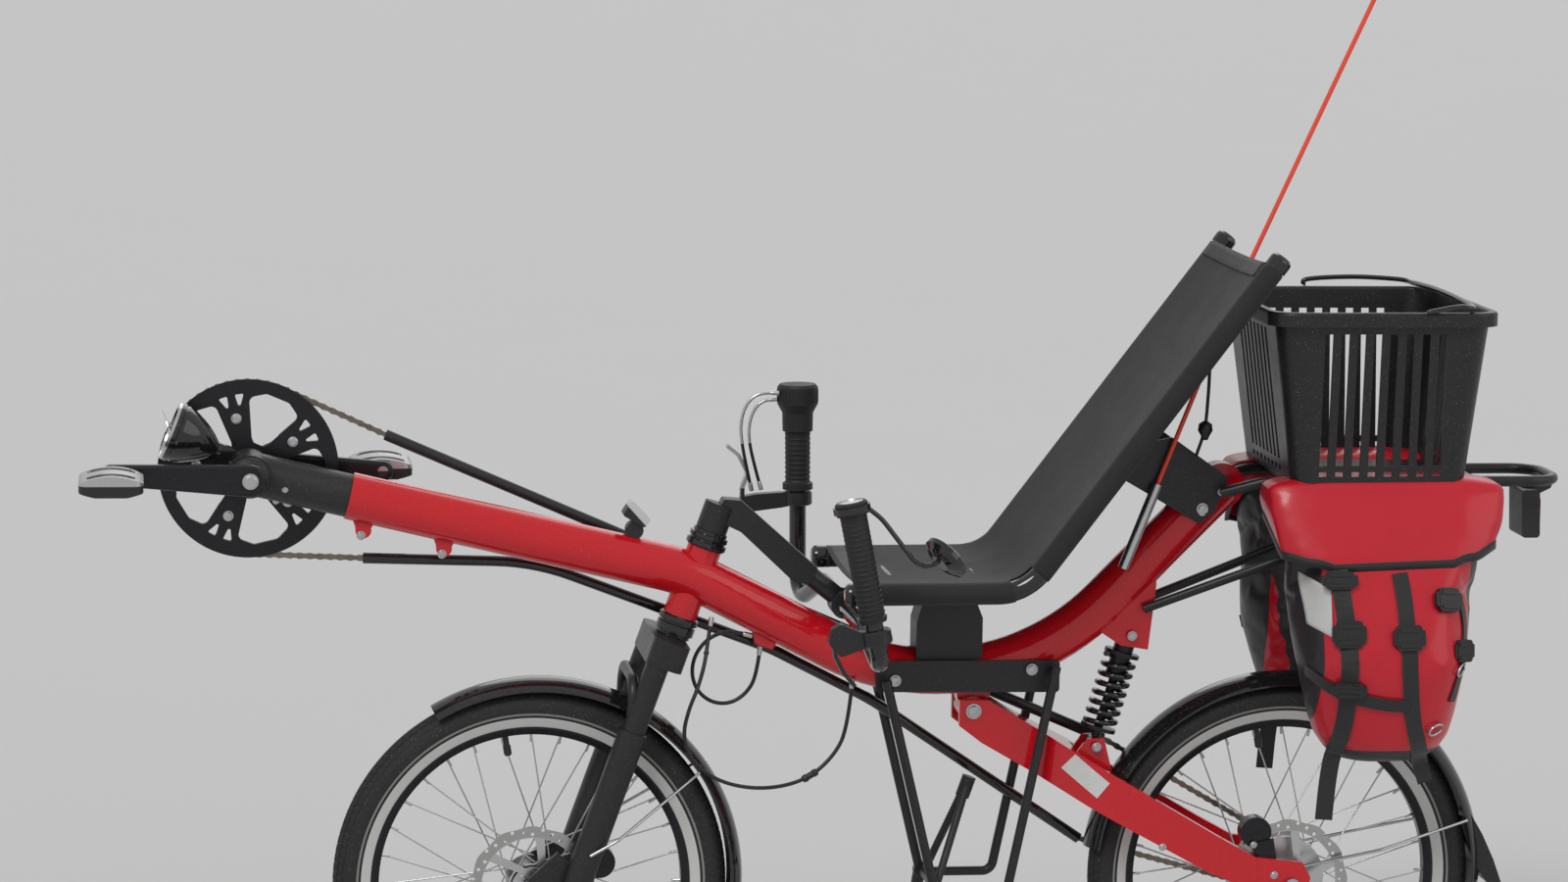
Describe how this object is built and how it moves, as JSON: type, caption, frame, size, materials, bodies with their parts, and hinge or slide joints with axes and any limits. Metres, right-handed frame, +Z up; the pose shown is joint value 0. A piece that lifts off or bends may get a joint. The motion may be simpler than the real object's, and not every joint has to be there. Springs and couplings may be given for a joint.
{
  "type": "recumbent bicycle",
  "caption": "Short-wheelbase recumbent bicycle with a sling seat, suspension, low handlebar, rack, basket, panniers and a two-leg stand.",
  "frame": {"origin": "on the floor, under the middle of the bicycle's length and in its mid-plane", "axes": "+X to the rear along the bicycle, +Y to its right-hand drive side, +Z up; it rides towards -X"},
  "size_m": [1.8818, 0.624, 1.6612],
  "materials": {
    "frame_red": "gloss red paint",
    "black_metal": "satin black",
    "gloss_black": "glossy black plastic",
    "black_plastic": "moulded black plastic",
    "grip_rubber": "soft black rubber",
    "tyre_rubber": "black with a pale reflective stripe",
    "black_rim": "black anodised",
    "steel": "bare steel",
    "silver": "satin silver",
    "hub_chrome": "polished",
    "seat_mesh": "dark woven sling",
    "bag_fabric": "coated bag cloth, red over black",
    "flag_orange": "orange glass-fibre rod",
    "flag_cloth": "orange pennant cloth",
    "rear_lens": "black lamp with a red lens"
  },
  "bodies": {
    "frame": {"main_frame": "frame_red", "boom": "black_metal", "headset": "black_metal", "headlight": "black_plastic", "tube_lamp": "black_plastic", "chain_upper_tube": "black_plastic", "chain_return_tube": "black_plastic", "swing_arm": "frame_red", "shock_body": "black_metal", "shock_spring": "black_metal", "side_plates": "black_metal", "seat_base": "black_plastic", "seat_frame": "black_metal", "seat_sling": "seat_mesh", "seat_back_bracket": "black_metal", "rack": "black_metal", "basket": "black_plastic", "left_pannier": "bag_fabric", "right_pannier": "bag_fabric", "tail_light": "rear_lens", "flag_socket": "silver", "flag_pole": "flag_orange", "rear_mudguard": "gloss_black", "rear_mudguard_stays": "steel", "rear_caliper": "black_metal", "rear_axle": "steel", "carrier_hoops": "black_metal", "chain": "steel", "flag": "flag_cloth", "frame_cables": "black_plastic"},
    "steering": {"fork": "black_metal", "front_axle": "steel", "front_mudguard": "gloss_black", "front_mudguard_stays": "steel", "front_caliper": "black_metal", "stem": "black_metal", "handlebar": "black_metal", "left_grip": "grip_rubber", "right_grip": "grip_rubber", "left_brake_lever": "black_metal", "right_brake_lever": "silver", "mirror": "black_plastic", "steering_cables": "black_plastic"},
    "front_wheel": {"front_tyre": "tyre_rubber", "front_rim": "black_rim", "front_spokes": "steel", "front_hub": "hub_chrome", "front_disc": "steel"},
    "rear_wheel": {"rear_tyre": "tyre_rubber", "rear_rim": "black_rim", "rear_spokes": "steel", "rear_hub": "silver", "rear_disc": "steel"},
    "cranks": {"left_crank": "black_metal", "right_crank": "black_metal", "chainring": "black_metal"},
    "left_pedal": {"left_pedal": "steel"},
    "right_pedal": {"right_pedal": "steel"},
    "stand": {"stand": "black_metal"}
  },
  "joints": [
    {"name": "steering_turn", "type": "hinge", "parent": "frame", "child": "steering", "pos_m": [-0.18979, 0, 0.592], "axis": [0.3338, 0, 0.9426], "range_deg": [-20, 20]},
    {"name": "front_wheel_spin", "type": "hinge", "parent": "steering", "child": "front_wheel", "pos_m": [-0.3771, 0, 0.25], "axis": [0, 1, 0], "continuous": true},
    {"name": "rear_wheel_spin", "type": "hinge", "parent": "frame", "child": "rear_wheel", "pos_m": [0.59291, 0, 0.25], "axis": [0, 1, 0], "continuous": true},
    {"name": "crank_spin", "type": "hinge", "parent": "frame", "child": "cranks", "pos_m": [-0.7321, 0, 0.77536], "axis": [0, 1, 0], "continuous": true},
    {"name": "left_pedal_spin", "type": "hinge", "parent": "cranks", "child": "left_pedal", "pos_m": [-0.90191, -0.128, 0.78336], "axis": [0, 1, 0], "continuous": true},
    {"name": "right_pedal_spin", "type": "hinge", "parent": "cranks", "child": "right_pedal", "pos_m": [-0.56228, 0.128, 0.76735], "axis": [0, 1, 0], "continuous": true},
    {"name": "stand_fold", "type": "hinge", "parent": "frame", "child": "stand", "pos_m": [0.1369, 0, 0.245], "axis": [0, -1, 0], "range_deg": [0, 95]}
  ]
}
